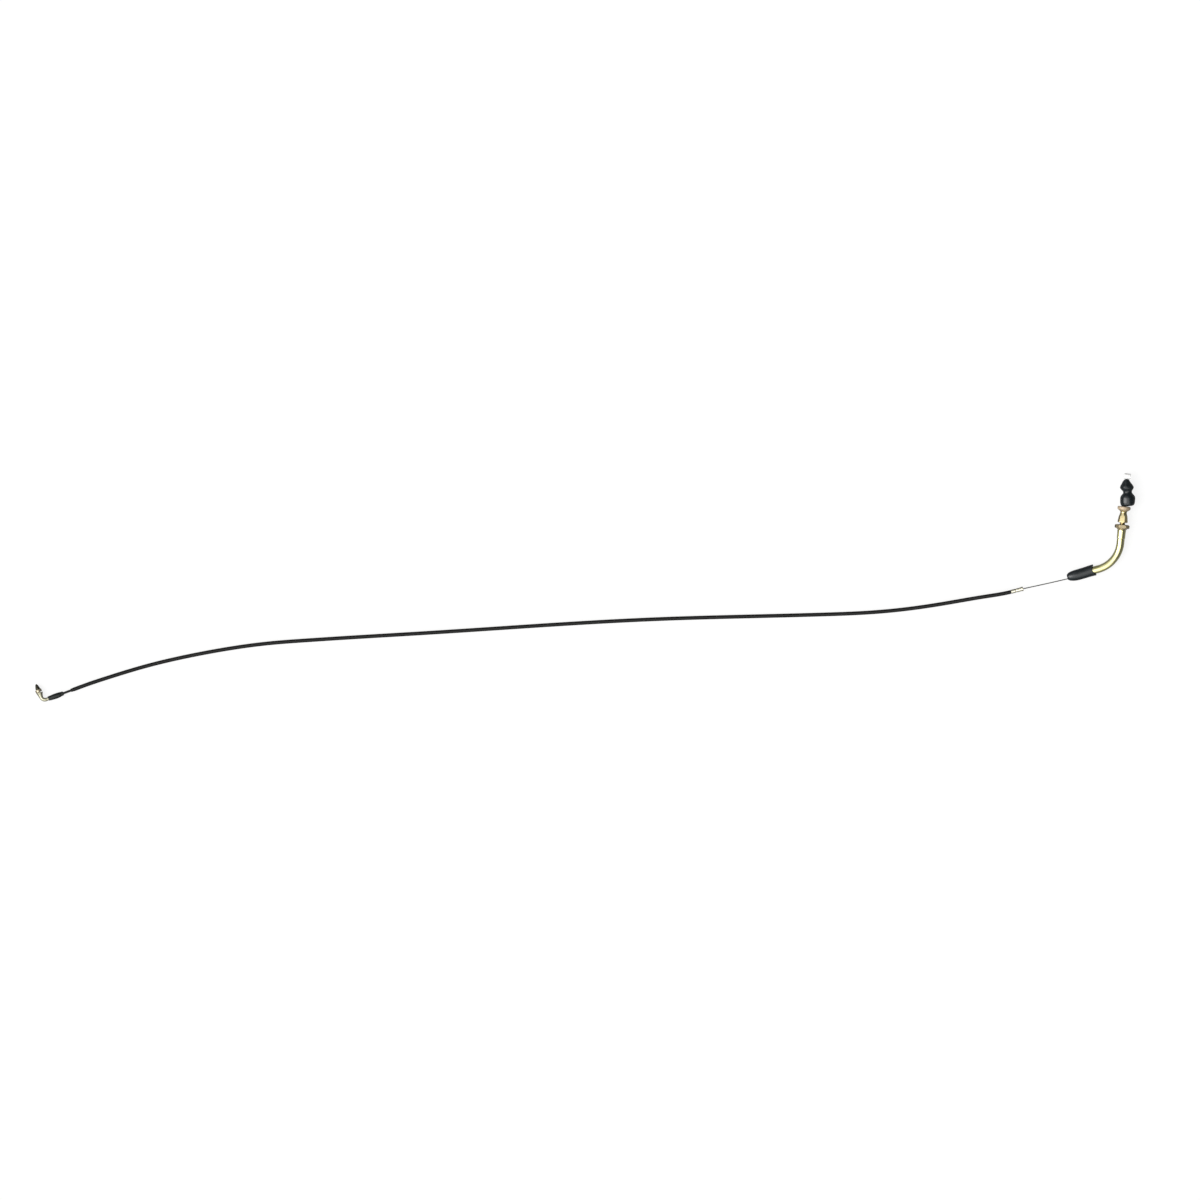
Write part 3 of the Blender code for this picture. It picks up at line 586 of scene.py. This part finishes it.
def strand(name, centres, place=None):
    """Twelve strands laid round the core, as one lobed and twisted skin."""
    c = np.asarray(centres, float)
    run = np.concatenate([[0.0], np.cumsum(np.linalg.norm(np.diff(c, axis=0), axis=1))])
    r = strand_radius(run / MM, 96) * MM
    rings, flat = tube_rings(c, r, 96)
    ends = [np.repeat(rings[i].mean(0)[None, :], 96, 0)[None] for i in (0, -1)]
    fends = [np.repeat(flat[i].mean(0)[None, :], 96, 0)[None] for i in (0, -1)]
    return loft(name, np.concatenate([ends[0], rings, ends[1]]), np.concatenate([fends[0], flat, fends[1]]), wrap=False, place=place, angle=60, even=False)


side_u = Vector((U.y, -U.x, 0.0))   # the wire hangs a little to this side at the cap
bow = through([(0.0, 0.05), (10.0, 0.45), (20.0, 0.88), (40.0, 1.60), (57.0, 2.05), (63.0, 2.0), (69.0, 1.15), (74.6, 0.1)], per=40)
bow_x = np.linspace(0.3, 74.6, 216)
bow_y = np.interp(bow_x, bow[:, 0], bow[:, 1])
wire = strand("inner_wire", [np.array(FACE + U * (a * MM) + side_u * (b * MM)) for a, b in zip(bow_x, bow_y)])
place_piece(wire, M_STRAND, "bare_wire", "steel_wire", "wire_bare")
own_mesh(wire)


def on_v(t):
    return BEND_B + V * (t * MM)


def on_d(t):
    return PIPE_B + D * (t * MM)


tail_t = np.arange(14.0, NIPPLE_T + 2.6, 0.36)
tail = strand("wire_tail", [np.array(on_v(t)) for t in tail_t])
place_piece(tail, M_STRAND, "grip_nipple", "steel_wire", "wire_tail_right")
tail_l = strand("wire_tail_carburettor", [np.array(on_d(t)) for t in np.arange(0.8, 14.4, 0.36)])
place_piece(tail_l, M_STRAND, "carburettor_nipple", "steel_wire", "wire_tail_left")

# ------------------------------------------------------------- right ferrule
def ferrule_shape(t, r, th):
    """Six crimp dimples behind the lip."""
    depth = 0.16 * math.exp(-((t + 5.4) / 0.8) ** 2) if r > 2.2 else 0.0
    rr = r - depth * np.clip(np.cos(6 * th), 0, 1) ** 2
    return rr * np.cos(th), rr * np.sin(th), np.full(len(th), float(t))


ferrule_outline = rounded([
    (-16.0, 2.0, 0.05), (-16.0, 2.62, 0.2), (-15.3, 2.66, 0.15), (-14.9, 2.6, 0.2), (-10.9, 2.6, 0.25), (-10.2, 2.36, 0.3), (-9.0, 2.36, 0.3), (-8.3, 2.6, 0.25),
    (-7.0, 2.6, 0.05), (-6.4, 2.6, 0.05), (-5.8, 2.6, 0.05), (-5.4, 2.6, 0.05), (-5.0, 2.6, 0.05), (-4.4, 2.6, 0.05), (-3.6, 2.6, 0.05),
    (-2.1, 2.6, 0.2), (-1.7, 2.88, 0.3), (-0.25, 2.88, 0.4), (0.0, 2.5, 0.2), (0.0, 1.1, 0.15), (-0.6, 0.95, 0.2), (-3.6, 0.95, 0.05), (-3.6, 1.95, 0.05),
], steps=3)
ferrule = turned("ferrule", ferrule_outline, FACE_FRAME, sides=72, shape=ferrule_shape, angle=50)
place_piece(ferrule, M_FERRULE, "outer_cable", "bright_steel", "right_ferrule")

# ---------------------------------------------------------------- rubber cap
cap_out = through([(-1.3, 2.95), (-1.0, 3.4), (-0.2, 4.2), (1.0, 4.95), (2.4, 5.5), (3.9, 5.95), (6.6, 6.55), (9.3, 6.85), (14.6, 7.05), (20.0, 7.1), (25.4, 7.17), (30.7, 7.27), (33.4, 7.3), (34.7, 7.32)], per=5)
cap_ring = [tuple(q) for q in cap_out] + rounded([(35.2, 7.32, 0.3), (35.7, 7.05, 0.25), (35.7, 5.6, 0.25), (34.6, 5.35, 0.3), (33.0, 5.33, 0.0), (31.0, 5.33, 0.0), (29.0, 5.33, 0.0), (20.0, 5.33, 0.0), (11.7, 5.33, 0.3), (11.7, 3.1, 0.3), (6.0, 3.0, 0.2), (-0.6, 2.9, 0.15), (-1.3, 2.75, 0.1)], steps=4)
CAP_SIDES = 96


def cap_shape(t, r, th):
    """The mouth is cut like a fish's, shortest on top and below, a little longer on the outer side."""
    cut = ease((t - 26.0) / 9.7)
    notch = 3.3 * np.abs(np.sin(th)) ** 1.6 - 0.55 * np.cos(th)
    z = t - cut * notch
    seam = 0.07 * np.exp(-((np.mod(th + math.pi / 2, math.pi) - math.pi / 2) / 0.035) ** 2) * (1.0 if r > 5.4 or t < 11 else 0.0)
    rr = r + seam * (1.0 if 1.0 < t < 34.5 and r > 5.0 else 0.0)
    lip = 0.10 * ease((t - 31.5) / 3.0) if r > 6.0 else 0.0
    rr = rr + lip
    y = rr * np.sin(th)
    sag = 0.36 * math.exp(-((t - 12.0) / 8.0) ** 2) - 0.35 * ease((t - 22.0) / 9.0)
    if r < 5.5 and not (t < 11.0 and r > 3.5):
        sag = 0.0
    return rr * np.cos(th) + sag, np.where(y > 6.2, 6.2 + (y - 6.2) * 0.2, y), z


cap = turned("rubber_cap_skin", cap_ring, U_FRAME, sides=CAP_SIDES, shape=cap_shape, angle=55)
place_piece(cap, M_RUBBER, "elbow", "rubber", "rubber_cap")

# ---------------------------------------------------------------- elbow tube
lower = [CAP_END + U * (TUBE_START + k * (BEND_START - TUBE_START) / 14) for k in range(14)]
bend = arc(BEND_A, U, BEND_W, BEND_R, BEND_ANGLE, 56)
upper = [BEND_B + V * (TUBE_END * k / 4) for k in range(1, 5)]
tube_line = np.array([list(p) for p in lower + bend + upper])
n = len(tube_line)
in_bend = np.array([0.0] * 14 + [math.sin(math.pi * k / 56) ** 0.5 if 0 < k < 56 else 0.0 for k in range(57)] + [0.0] * 4)
th = angles(72)[None, :]
# bending has flattened the tube by a hair: narrower across the bend, taller over it
tube_r = 5.0 * (1 - 0.014 * in_bend[:, None] * np.cos(2 * th))
tube_r[0] -= 0.2
tube_bore = np.full(n, 3.8)
tube_bore[0] = 4.0
elbow = pipe("bent_tube", tube_line, tube_r * MM, tube_bore * MM, sides=72, angle=50, even=False)
place_piece(elbow, M_ZINC, "elbow", "zinc_gold", "elbow_tube")

# --------------------------------------------------------------- collar
collar_outline = rounded([
    (5.65, 4.1, 0.1), (5.65, 5.05, 0.25), (6.3, 5.3, 0.3), (9.0, 5.36, 0.6), (13.0, 5.42, 0.6), (16.6, 5.62, 0.5), (17.6, 5.45, 0.3), (17.6, 4.4, 0.15), (17.0, 4.05, 0.1),
], steps=3)
collar = turned("adjuster_collar", collar_outline, V_FRAME, sides=72)
place_piece(collar, M_ZINC, "elbow", "zinc_gold", "collar")


# --------------------------------------------------------------- washer, nut
def washer_shape(t, r, th):
    """A split spring washer: a narrow slanting cut, its two ends a little apart in height."""
    lift = 0.10 * (th / TAU - 0.5)
    return r * np.cos(th), r * np.sin(th), t + lift


washer_outline = rounded([(17.95, 4.1, 0.08), (17.95, 6.6, 0.2), (18.95, 6.6, 0.2), (18.95, 4.1, 0.08)], steps=3)
washer = turned("spring_washer", washer_outline, V_FRAME, sides=72)
place_piece(washer, M_NUT, "washer", "zinc_gold", "lock_washer")


def hexagon_r(th, apothem):
    """Radius of a six sided bar with corners at 0, 60, ... degrees, its corners just broken."""
    a = (th % (TAU / 6)) - TAU / 12
    return np.minimum(apothem / np.cos(a), apothem / math.cos(math.pi / 6) * 0.988)


def skin(name, stations, bore, place, sides=96, angle=40.0):
    """stations: (t, radii round the piece) in mm, from one end to the other; bore: an outline back through the middle."""
    th = angles(sides)
    rows = [(t, np.broadcast_to(r, th.shape)) for t, r in stations] + [(t, np.full(sides, float(r))) for t, r in bore]
    rings = [np.stack([r * np.cos(th), r * np.sin(th), np.full(sides, float(t))], 1) * MM for t, r in rows]
    return loft(name, rings, wrap=True, place=place, angle=angle)


th96 = angles(96)
H0, H1, HALF = 19.3, 24.2, 8.5
NUT_TURN, SCREW_TURN = math.radians(-2.0), math.radians(11.25)
nut_rows = []
for t in list(H0 + np.linspace(0.0, 1.0, 12)) + list(np.linspace(H0 + 1.0, H1 - 1.0, 5)[1:-1]) + list(H1 - np.linspace(1.0, 0.0, 12)):
    cone = 8.15 + 1.75 * min(t - H0, H1 - t)
    nut_rows.append((float(t), np.minimum(hexagon_r(th96 + NUT_TURN, HALF), cone)))
nut = skin("hexagon_nut", nut_rows, [(H1, 4.75), (H1 - 0.5, 4.1), (H0 + 0.5, 4.1), (H0, 4.75)], V_FRAME, angle=33)
place_piece(nut, M_NUT, "nut", "zinc_gold", "lock_nut")

# --------------------------------------------------------------- adjuster
THREAD, MAJOR, MINOR = 1.25, 3.75, 3.09
rows = []
for t in np.arange(11.0, 26.55, THREAD / 18):
    x = np.abs(((t / THREAD - th96 / TAU) % 1.0) - 0.5) * 2          # 0 at the crest, 1 at the root
    tooth = np.clip((1.12 - x * 1.25), 0.0, 1.0)
    fade = min(1.0, max(0.0, (t - 10.6) / 1.2), max(0.0, (26.5 - t) / 0.7))
    r = MINOR + (MAJOR - MINOR) * tooth * min(1.0, fade)
    if t < 11.8:
        r = np.minimum(r, 3.2 + (t - 11.0) * 0.7)
    rows.append((float(t), r))
rows += [(26.7, np.full(96, 3.12)), (26.95, np.full(96, 3.2)), (27.0, np.full(96, 3.4))]
# tapering hexagon: flats run out into the round waist
for t in np.concatenate([27.0 + np.linspace(0.0, 0.75, 9), np.linspace(27.9, 39.6, 40)]):
    flat_r = np.interp(t, [27.0, 28.2, 33.7, 37.0, 39.6], [5.85, 5.82, 5.12, 4.62, 4.22])
    k = 1.0 - ease((t - 35.2) / 4.2)
    hexed = flat_r * (hexagon_r(th96 + SCREW_TURN, 1.0) ** k)
    rows.append((float(t), np.minimum(hexed, 5.55 + 1.75 * (t - 27.0))))
for t, r in rounded([(39.8, 4.2, 0.0), (41.0, 4.2, 0.8), (42.2, 5.3, 0.9), (43.5, 7.4, 0.7), (44.3, 8.3, 0.5), (45.4, 8.5, 0.5), (46.9, 8.5, 0.6), (47.9, 7.9, 0.5), (48.0, 6.0, 0.1), (48.0, 2.5, 0.3), (52.6, 2.4, 0.3), (53.0, 2.0, 0.1)], steps=4, closed=False):
    rows.append((t, np.full(96, r)))
adjuster = skin("adjusting_screw_body", rows, [(53.0, 1.3), (52.4, 1.1), (11.6, 1.1), (11.0, 1.4)], V_FRAME, angle=33)
place_piece(adjuster, M_ADJUSTER, "adjusting_screw", "zinc_gold", "adjuster")

# --------------------------------------------------------------- boot
B0 = 48.4
boot_out = through([
    (0.0, 6.7, 3.3), (0.3, 7.3, 3.4), (1.0, 8.2, 3.7), (2.2, 8.8, 3.9), (4.3, 9.35, 3.75), (6.6, 9.55, 3.65), (9.0, 9.62, 3.5), (11.0, 9.6, 3.5),
    (12.6, 9.25, 3.55), (14.2, 8.5, 3.65), (15.6, 7.3, 3.6), (16.8, 6.35, 3.2), (17.8, 5.92, 2.72), (18.7, 5.82, 2.27), (19.7, 6.1, 1.75), (21.0, 6.9, 1.2), (22.4, 7.95, 1.0),
    (23.6, 8.62, 0.9), (24.3, 8.82, 0.88), (24.9, 8.7, 0.88), (26.5, 8.3, 0.8), (28.2, 7.3, 0.75), (30.0, 6.2, 0.35), (31.8, 5.05, -0.1), (33.2, 4.0, -0.2), (34.4, 3.1, -0.1), (35.0, 2.75, 0.0)], per=5)
boot_in = through([
    (35.3, 2.35, 0.0), (35.25, 1.6, 0.0), (34.6, 1.15, 0.0), (32.4, 1.3, 0.0), (29.0, 4.3, 0.6), (26.0, 6.4, 0.9), (24.3, 6.8, 0.9), (22.0, 5.3, 1.1),
    (20.0, 3.5, 1.5), (18.2, 3.3, 2.1), (16.0, 4.6, 3.1), (13.0, 6.8, 3.5), (8.0, 7.4, 3.6), (4.2, 6.2, 3.3), (3.3, 4.4, 1.4), (2.6, 2.9, 0.1), (1.0, 2.75, 0.0),
    (0.05, 3.0, 0.1), (0.0, 4.6, 1.6), (0.0, 6.2, 3.1)], per=4)
th = angles(96)
boot_rings = []
for outer, line in ((True, boot_out), (False, boot_in)):
    for t, r, dx in line:
        rr = np.full(96, float(r))
        if outer:
            # the moulding seam on both sides, and soft dents where the folds pull in
            rr += 0.05 * np.exp(-((np.mod(th + math.pi / 2, math.pi) - math.pi / 2) / 0.03) ** 2)
            rr *= 1 + 0.012 * np.cos(3 * th + 0.8) * math.exp(-((t - 16.5) / 5.0) ** 2) + 0.008 * np.cos(2 * th + 0.4)
        x, y = rr * np.cos(th) + dx, rr * np.sin(th)
        ground = (on_v(B0 + t).z / MM - 0.03) / math.cos(math.radians(V_TILT))
        y = np.minimum(y, ground)   # where the lobe would press into the surface it lies on
        # the rim of the upper lobe leans, and the skirt has lifted off the flange on the outer side
        lift = 0.10 * (1 - ease(t / 13.0)) * np.maximum(x + 4.2, 0.0) * ease((rr - 2.8) / 3.5)
        z = B0 + t + 0.09 * math.exp(-((t - 24.3) / 4.0) ** 2) * rr * np.cos(th) + lift
        boot_rings.append(np.stack([x, y, z], 1) * MM)
boot = loft("boot_skin", boot_rings, wrap=True, place=V_FRAME, angle=60)
place_piece(boot, M_RUBBER, "rubber_boot", "rubber", "boot")

# --------------------------------------------------------------- grip nipple
across = V.cross(Vector((0, 0, 1))).normalized()
NIP_FRAME = frame_at(on_v(NIPPLE_T), across)
nipple_outline = rounded([(-4.15, 0.0, 0.0), (-4.15, 1.3, 0.1), (-4.02, 1.5, 0.1), (-4.02, 2.4, 0.1), (-4.15, 2.6, 0.1), (-4.15, 3.2, 0.25), (-3.8, 3.5, 0.25), (-0.4, 3.5, 0.0), (0.0, 3.54, 0.05), (0.4, 3.5, 0.0), (3.8, 3.5, 0.25),
                          (4.15, 3.2, 0.25), (4.15, 2.6, 0.1), (4.02, 2.4, 0.1), (4.02, 1.5, 0.1), (4.15, 1.3, 0.1), (4.15, 0.0, 0.0)], steps=3, closed=False)
nipple = turned("barrel_nipple", nipple_outline, NIP_FRAME, sides=72, wrap=False, angle=45)
place_piece(nipple, M_DIECAST, "grip_nipple", "diecast", "right_nipple")
# the soldered end of the wire, a low button in the barrel's far side
button_outline = rounded([(NIPPLE_T + 2.2, 0.0, 0.0), (NIPPLE_T + 2.2, 1.5, 0.1), (NIPPLE_T + 3.3, 1.35, 0.3), (NIPPLE_T + 3.75, 0.9, 0.4), (NIPPLE_T + 3.85, 0.0, 0.0)], steps=4, closed=False)
button = turned("solder_button", button_outline, V_FRAME, sides=48, wrap=False, angle=45)
place_piece(button, M_DIECAST, "grip_nipple", "diecast")

# --------------------------------------------------------------- carburettor end
SLEEVE_LEN = (grid(*SLEEVE_END) - grid(*SLEEVE_MOUTH)).length / MM
sleeve_out = through([(0.0, 2.2), (0.25, 2.4), (1.2, 2.52), (2.8, 2.78), (4.6, 3.15), (7.0, 3.42), (9.6, 3.56), (12.4, 3.52), (15.4, 3.3), (17.8, 3.12), (SLEEVE_LEN - 1.5, 3.0), (SLEEVE_LEN - 0.5, 2.92), (SLEEVE_LEN, 2.72)], per=5)
sleeve_ring = [tuple(q) for q in sleeve_out] + rounded([(SLEEVE_LEN, 2.5, 0.1), (SLEEVE_LEN - 0.5, 2.3, 0.2), (11.3, 2.3, 0.1), (11.0, 2.8, 0.1), (0.9, 2.8, 0.1), (0.6, 1.85, 0.1), (0.0, 1.75, 0.1)], steps=2)


def sleeve_shape(t, r, th):
    """Hand pressed on: the bulge sits lower on one side, and its edge is not quite square."""
    swell = 0.12 * math.exp(-((t - 9.0) / 4.5) ** 2) if r > 2.9 else 0.0
    x = r * np.cos(th) - swell
    return x, r * np.sin(th), t + 0.12 * np.cos(th) * ease((t - 14.0) / 6.0) * r


sleeve = turned("sleeve_skin", sleeve_ring, SLEEVE_FRAME, sides=72, shape=sleeve_shape, angle=55)
place_piece(sleeve, M_SLEEVE, "outer_cable", "rubber", "left_sleeve")

pipe_arc = arc(PIPE_A, SLEEVE_DIR, PIPE_W, PIPE_BEND_R, PIPE_ANGLE, 30)
start_in = grid(*SLEEVE_MOUTH, LEFT_Z) + SLEEVE_DIR * (11.4 * MM)
stations = [(start_in, 2.1, 1.25)] + [(start_in.lerp(pipe_arc[0], k / 8), 2.15, 1.25) for k in range(1, 8)]
stations += [(p, 2.15 + 0.28 * float(ease(k / 8)), 1.25) for k, p in enumerate(pipe_arc)]
flare = through([(0.6, 2.47, 1.25), (2.0, 2.75, 1.35), (3.4, 3.12, 1.75), (4.8, 3.5, 2.25), (6.0, 3.92, 2.8), (6.9, 4.25, 3.3), (7.35, 4.42, 3.6), (7.5, 4.32, 3.85)], per=4)
stations += [(on_d(t), r, b) for t, r, b in flare]
centre = np.array([list(p) for p, _, _ in stations])
run = np.concatenate([[0.0], np.cumsum(np.linalg.norm(np.diff(centre, axis=0), axis=1))])
from_sleeve = np.clip((run - run[8]) / (run[-1] - run[8]), 0.0, 1.0)
centre -= np.array(D_FRAME.to_3x3().col[0])[None, :] * (np.sin(math.pi * from_sleeve) * 1.0 * MM)[:, None]
pipe_ob = pipe("flared_pipe", centre, np.array([r for _, r, _ in stations]) * MM, np.array([b for _, _, b in stations]) * MM, sides=56, angle=50, even=False)
place_piece(pipe_ob, M_PIPE, "outer_cable", "bright_steel", "left_pipe")

cup = turned("seat_cup", rounded([
    (7.9, 1.3, 0.1), (7.9, 3.55, 0.3), (8.5, 4.3, 0.35), (10.0, 4.3, 0.3), (10.2, 4.12, 0.15), (10.5, 4.12, 0.15), (10.7, 4.3, 0.2), (11.4, 4.3, 0.25), (11.6, 3.95, 0.2), (11.6, 3.4, 0.15), (9.9, 2.9, 0.2), (9.9, 1.3, 0.1)], steps=3), D_FRAME, sides=72)
place_piece(cup, M_CUP, "outer_cable", "bronze", "left_cup")

pear = through([(10.2, 2.3), (10.45, 2.6), (11.0, 2.84), (12.0, 3.0), (13.2, 2.98), (14.4, 2.7), (15.6, 2.32), (16.8, 1.9), (17.8, 1.5), (18.5, 1.1), (18.85, 0.7), (19.0, 0.0)], per=5)
pear_ring = [(14.6, 0.0), (14.6, 0.85), (10.35, 0.85), (10.2, 1.05)] + [tuple(q) for q in pear]


def pear_shape(t, r, th):
    """It sits loose in the cup and leans to one side."""
    return r * np.cos(th) + 0.14 * max(t - 10.2, 0.0), r * np.sin(th), np.full(len(th), float(t))


pear_ob = turned("pear_nipple", pear_ring, D_FRAME, sides=64, shape=pear_shape, wrap=False, angle=50)
place_piece(pear_ob, M_DARK, "carburettor_nipple", "dark_metal", "left_nipple")

# ------------------------------------------------------------ floor and light
bpy.ops.mesh.primitive_plane_add(size=80.0, location=(0, 0, -0.0002))
floor = bpy.context.object
floor.name = "floor"
f = Shade("white_floor", attribute=False)
mottle = f.ranged(f.noise(0.004, detail=3), 0.3, 0.7)
f.finish(f.mix(mottle, (0.18, 0.18, 0.18), (0.19, 0.19, 0.188)), 0.85, specular=0.2)
bright = f.t.nodes.new("ShaderNodeBsdfDiffuse")
f.link(f.mix(mottle, (0.139, 0.139, 0.139), (0.142, 0.142, 0.142)), bright.inputs["Color"])
glow = f.t.nodes.new("ShaderNodeEmission")
glow.inputs["Strength"].default_value = 0.84
both = f.t.nodes.new("ShaderNodeAddShader")
f.link(bright.outputs[0], both.inputs[0])
f.link(glow.outputs[0], both.inputs[1])
path = f.t.nodes.new("ShaderNodeLightPath")
swap = f.t.nodes.new("ShaderNodeMixShader")
f.link(path.outputs["Is Camera Ray"], swap.inputs[0])
f.link(f.b.outputs[0], swap.inputs[1])
f.link(both.outputs[0], swap.inputs[2])
f.link(swap.outputs[0], f.t.nodes["Material Output"].inputs["Surface"])
floor.data.materials.append(f.m)

world = bpy.data.worlds.new("studio")
bpy.context.scene.world = world
world.use_nodes = True
wt = world.node_tree
background = wt.nodes["Background"]
coord = wt.nodes.new("ShaderNodeTexCoord")


def along(direction, low, high, to_low=0.0, to_high=1.0):
    """Smooth step of the sky's direction, measured along the given vector."""
    dot = wt.nodes.new("ShaderNodeVectorMath")
    dot.operation = "DOT_PRODUCT"
    wt.links.new(coord.outputs["Generated"], dot.inputs[0])
    dot.inputs[1].default_value = Vector(direction)
    ran = wt.nodes.new("ShaderNodeMapRange")
    ran.interpolation_type = "SMOOTHSTEP"
    for i, v in enumerate((low, high, to_low, to_high)):
        ran.inputs[i + 1].default_value = v
    wt.links.new(dot.outputs["Value"], ran.inputs[0])
    return ran.outputs[0]


def calc(op, a, b):
    n = wt.nodes.new("ShaderNodeMath")
    n.operation = op
    for i, v in enumerate((a, b)):
        if isinstance(v, (int, float)):
            n.inputs[i].default_value = v
        else:
            wt.links.new(v, n.inputs[i])
    return n.outputs[0]


# a big soft window from the left over the middle, its brightest part half way up; a dark room to the right and low down
panel = along((1.0, 0.55, 0.0), 0.10, 0.36, 1.0, 0.0)
panel = calc("MULTIPLY", panel, along((0.0, 1.0, 0.0), 0.12, 0.5, 1.0, 0.6))
panel = calc("MULTIPLY", panel, along((0.0, 0.0, 1.0), 0.22, 0.55))
core = along(Vector((-0.69, -0.16, 0.71)).normalized(), math.cos(math.radians(30)), math.cos(math.radians(8)))
crown = along(Vector((-0.15, -0.27, 0.95)).normalized(), math.cos(math.radians(40)), math.cos(math.radians(10)))
power = calc("ADD", calc("ADD", calc("MULTIPLY", panel, 1.15), calc("MULTIPLY", core, 5.0)), 0.12)
power = calc("ADD", power, calc("MULTIPLY", crown, 0.9))
wt.links.new(power, background.inputs["Strength"])
background.inputs["Color"].default_value = (1.0, 0.995, 0.985, 1.0)

bpy.context.scene.view_settings.view_transform = "Standard"
bpy.context.scene.view_settings.look = "None"
bpy.context.scene.view_settings.exposure = 0.0
bpy.context.scene.view_settings.gamma = 1.0
